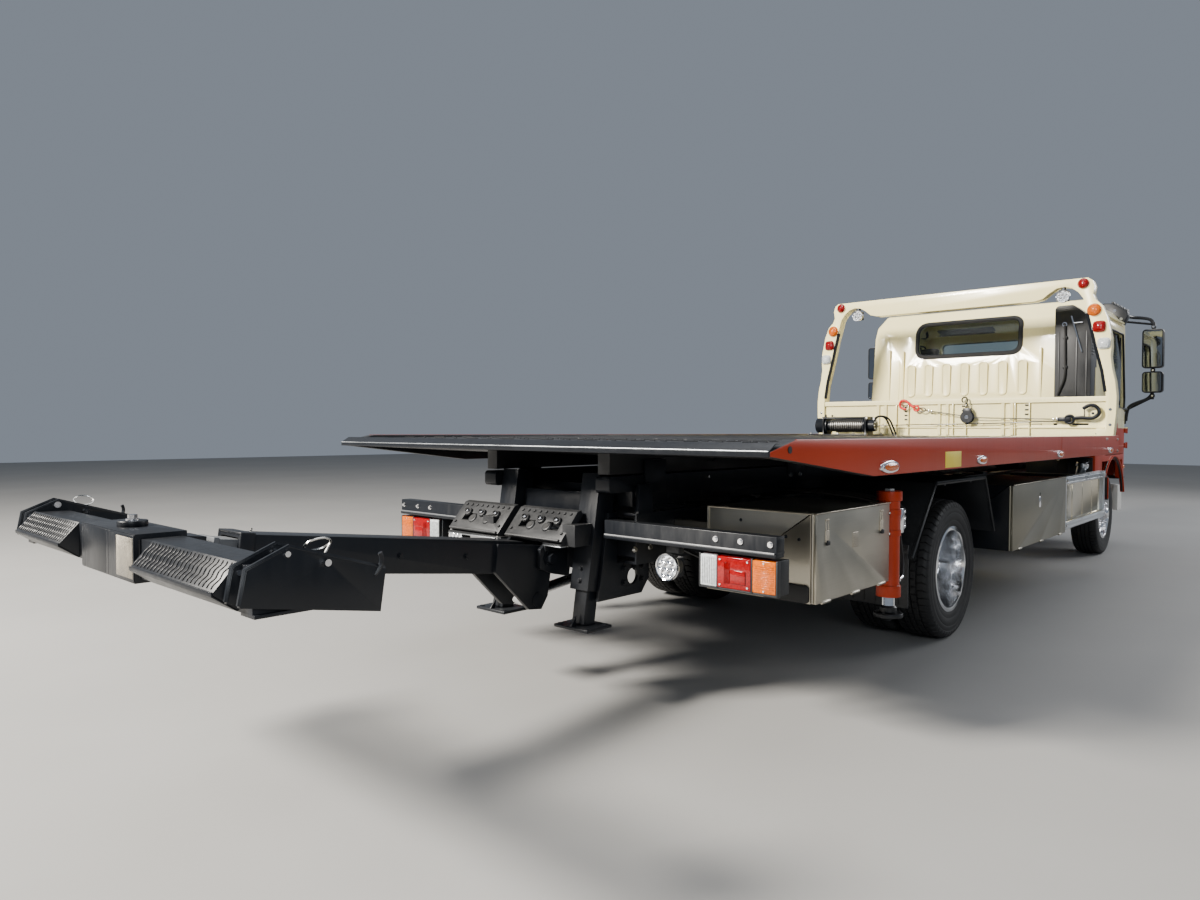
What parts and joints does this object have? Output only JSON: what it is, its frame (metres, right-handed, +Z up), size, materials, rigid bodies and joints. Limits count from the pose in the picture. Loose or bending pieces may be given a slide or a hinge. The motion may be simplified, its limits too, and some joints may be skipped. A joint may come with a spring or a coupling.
{
  "type": "flatbed recovery truck",
  "caption": "Cab-over flatbed recovery truck with a tilting, sliding bed, a winch, a telescopic rear wheel-lift boom with crossbar, stabiliser feet, side jacks and toolboxes.",
  "frame": {"origin": "on the ground below the middle of the rear axle", "axes": "+X to the front of the truck, +Y to its left, +Z up"},
  "size_m": [9.214, 3.034, 2.366],
  "materials": {
    "chassis_black": "satin black paint",
    "running_gear_grey": "dull",
    "exhaust_steel": "dull",
    "fuel_tank_aluminium": "satin",
    "bumper_white": "gloss",
    "black_plastic": "matt",
    "lamp_red": "gloss",
    "lamp_amber": "gloss",
    "lamp_clear": "gloss",
    "polished_panel": "polished",
    "box_steel": "brushed",
    "body_orange": "gloss",
    "cab_cream": "gloss",
    "cab_orange": "gloss",
    "clear_glass": "clear",
    "seat_cloth": "woven",
    "trim_grey": "matt",
    "deck_black": "satin",
    "winch_black": "gloss",
    "ram_chrome": "polished",
    "boom_grey": "satin",
    "tyre_rubber": "matt",
    "polished_rim": "polished"
  },
  "bodies": {
    "chassis": {"chassis_frame": "chassis_black", "front_axle": "running_gear_grey", "rear_axle": "running_gear_grey", "driveline": "running_gear_grey", "exhaust": "exhaust_steel", "fuel_tank": "fuel_tank_aluminium", "bumper": "bumper_white", "rear_mast": "chassis_black", "step_pads": "black_plastic", "rear_beam": "chassis_black", "tail_lamps": "lamp_red", "side_panels": "polished_panel", "mudguards": "black_plastic", "jack_barrels": "body_orange", "rear_toolbox": "box_steel", "side_toolboxes": "box_steel"},
    "cab": {"cab_shell": "cab_cream", "cab_lower": "cab_orange", "cab_glass": "clear_glass", "headlamps": "lamp_clear", "mirrors": "black_plastic", "snorkel": "black_plastic", "seats": "seat_cloth", "dashboard": "trim_grey"},
    "bed": {"deck_floor": "deck_black", "deck_rails": "body_orange", "cab_guard": "cab_cream", "deck_lamps": "lamp_amber", "winch": "winch_black", "slide_rod": "ram_chrome"},
    "subframe": {"tilt_subframe": "chassis_black"},
    "lift_barrels": {"lift_barrels": "chassis_black"},
    "lift_rods": {"lift_rods": "ram_chrome"},
    "boom": {"boom_outer": "chassis_black"},
    "boom_slide": {"boom_inner": "boom_grey"},
    "crossbar": {"crossbar": "chassis_black"},
    "underlift_barrel": {"underlift_barrel": "chassis_black"},
    "underlift_rod": {"underlift_rod": "ram_chrome"},
    "stabiliser": {"rear_feet": "chassis_black"},
    "left_knuckle": {"left_knuckle": "running_gear_grey"},
    "front_left_wheel": {"front_left_tyre": "tyre_rubber", "front_left_rim": "polished_rim"},
    "rear_left_wheels": {"rear_left_tyres": "tyre_rubber", "rear_left_rims": "polished_rim"},
    "left_door": {"left_door": "cab_cream", "left_door_glass": "clear_glass"},
    "left_jack": {"left_jack_foot": "ram_chrome"},
    "left_side_box_door": {"left_side_box_door": "box_steel"},
    "right_knuckle": {"right_knuckle": "running_gear_grey"},
    "front_right_wheel": {"front_right_tyre": "tyre_rubber", "front_right_rim": "polished_rim"},
    "rear_right_wheels": {"rear_right_tyres": "tyre_rubber", "rear_right_rims": "polished_rim"},
    "right_door": {"right_door": "cab_cream", "right_door_glass": "clear_glass"},
    "right_jack": {"right_jack_foot": "ram_chrome"},
    "right_side_box_door": {"right_side_box_door": "box_steel"},
    "rear_box_door": {"rear_box_door": "box_steel"}
  },
  "joints": [
    {"name": "left_steering", "type": "hinge", "parent": "chassis", "child": "left_knuckle", "pos_m": [4.2, 0.7, 0.3835], "axis": [0, 0, 1], "range_deg": [-35, 35]},
    {"name": "front_left_wheel_spin", "type": "hinge", "parent": "left_knuckle", "child": "front_left_wheel", "pos_m": [4.2, 0.83, 0.3835], "axis": [0, 1, 0], "continuous": true},
    {"name": "rear_left_wheels_spin", "type": "hinge", "parent": "chassis", "child": "rear_left_wheels", "pos_m": [0, 0.7535, 0.3835], "axis": [0, 1, 0], "continuous": true},
    {"name": "right_steering", "type": "hinge", "parent": "chassis", "child": "right_knuckle", "pos_m": [4.2, -0.7, 0.3835], "axis": [0, 0, 1], "range_deg": [-35, 35]},
    {"name": "front_right_wheel_spin", "type": "hinge", "parent": "right_knuckle", "child": "front_right_wheel", "pos_m": [4.2, -0.83, 0.3835], "axis": [0, 1, 0], "continuous": true},
    {"name": "rear_right_wheels_spin", "type": "hinge", "parent": "chassis", "child": "rear_right_wheels", "pos_m": [0, -0.7535, 0.3835], "axis": [0, 1, 0], "continuous": true},
    {"name": "cab_tilt", "type": "hinge", "parent": "chassis", "child": "cab", "pos_m": [5.12, 0, 0.665], "axis": [0, 1, 0], "range_deg": [0, 45]},
    {"name": "left_door_swing", "type": "hinge", "parent": "cab", "child": "left_door", "pos_m": [5.03, 0.962, 1.1], "axis": [0, 0, -1], "range_deg": [0, 65]},
    {"name": "right_door_swing", "type": "hinge", "parent": "cab", "child": "right_door", "pos_m": [5.03, -0.962, 1.1], "axis": [0, 0, 1], "range_deg": [0, 65]},
    {"name": "bed_tilt", "type": "hinge", "parent": "chassis", "child": "subframe", "pos_m": [-2, 0, 0.88], "axis": [0, -1, 0], "range_deg": [0, 14.5]},
    {"name": "bed_slide", "type": "slide", "parent": "subframe", "child": "bed", "axis": [-1, 0, 0], "range_m": [0, 3.6]},
    {"name": "lift_barrels_swing", "type": "hinge", "parent": "chassis", "child": "lift_barrels", "pos_m": [0.42, 0, 0.7], "axis": [0, -1, 0], "range_deg": [0, 39.53]},
    {"name": "lift_rods_slide", "type": "slide", "parent": "lift_barrels", "child": "lift_rods", "axis": [0.9957, 0, 0.0922], "range_m": [0, 0.3086]},
    {"name": "underlift_lower", "type": "hinge", "parent": "chassis", "child": "boom", "pos_m": [-2.27, 0, 0.61], "axis": [0, -1, 0], "range_deg": [-6, 20]},
    {"name": "boom_slide", "type": "slide", "parent": "boom", "child": "boom_slide", "axis": [0.9931, 0, -0.1175], "range_m": [-0.8, 0.04]},
    {"name": "crossbar_swivel", "type": "hinge", "parent": "boom_slide", "child": "crossbar", "pos_m": [-3.81, 0, 0.8], "axis": [0, 0, 1], "range_deg": [-15, 15]},
    {"name": "underlift_barrel_swing", "type": "hinge", "parent": "chassis", "child": "underlift_barrel", "pos_m": [-1.48, 0, 0.545], "axis": [0, -1, 0], "range_deg": [-0.4, 1.11]},
    {"name": "underlift_rod_slide", "type": "slide", "parent": "underlift_barrel", "child": "underlift_rod", "axis": [-0.9919, 0, -0.1271], "range_m": [-0.0605, 0.0189]},
    {"name": "stabiliser_lower", "type": "slide", "parent": "chassis", "child": "stabiliser", "axis": [-0.1575, 0, -0.9875], "range_m": [0, 0.32]},
    {"name": "left_jack_lower", "type": "slide", "parent": "chassis", "child": "left_jack", "axis": [0, 0, -1], "range_m": [0, 0.32]},
    {"name": "left_side_box_door_open", "type": "hinge", "parent": "chassis", "child": "left_side_box_door", "pos_m": [1.22, 1.126, 0.433], "axis": [-1, 0, 0], "range_deg": [0, 90]},
    {"name": "right_jack_lower", "type": "slide", "parent": "chassis", "child": "right_jack", "axis": [0, 0, -1], "range_m": [0, 0.32]},
    {"name": "right_side_box_door_open", "type": "hinge", "parent": "chassis", "child": "right_side_box_door", "pos_m": [1.22, -1.126, 0.433], "axis": [1, 0, 0], "range_deg": [0, 90]},
    {"name": "rear_box_door_open", "type": "hinge", "parent": "chassis", "child": "rear_box_door", "pos_m": [-1.54, -1.126, 0.499], "axis": [1, 0, 0], "range_deg": [0, 90]}
  ],
  "couplings": [
    {"joint": "right_steering", "follows": "left_steering", "ratio": 1},
    {"joint": "lift_barrels_swing", "follows": "bed_tilt", "ratio": 2.7192},
    {"joint": "lift_rods_slide", "follows": "bed_tilt", "m_per_rad": 1.2114},
    {"joint": "underlift_barrel_swing", "follows": "underlift_lower", "ratio": 0.0505},
    {"joint": "underlift_rod_slide", "follows": "underlift_lower", "m_per_rad": -0.17053}
  ]
}
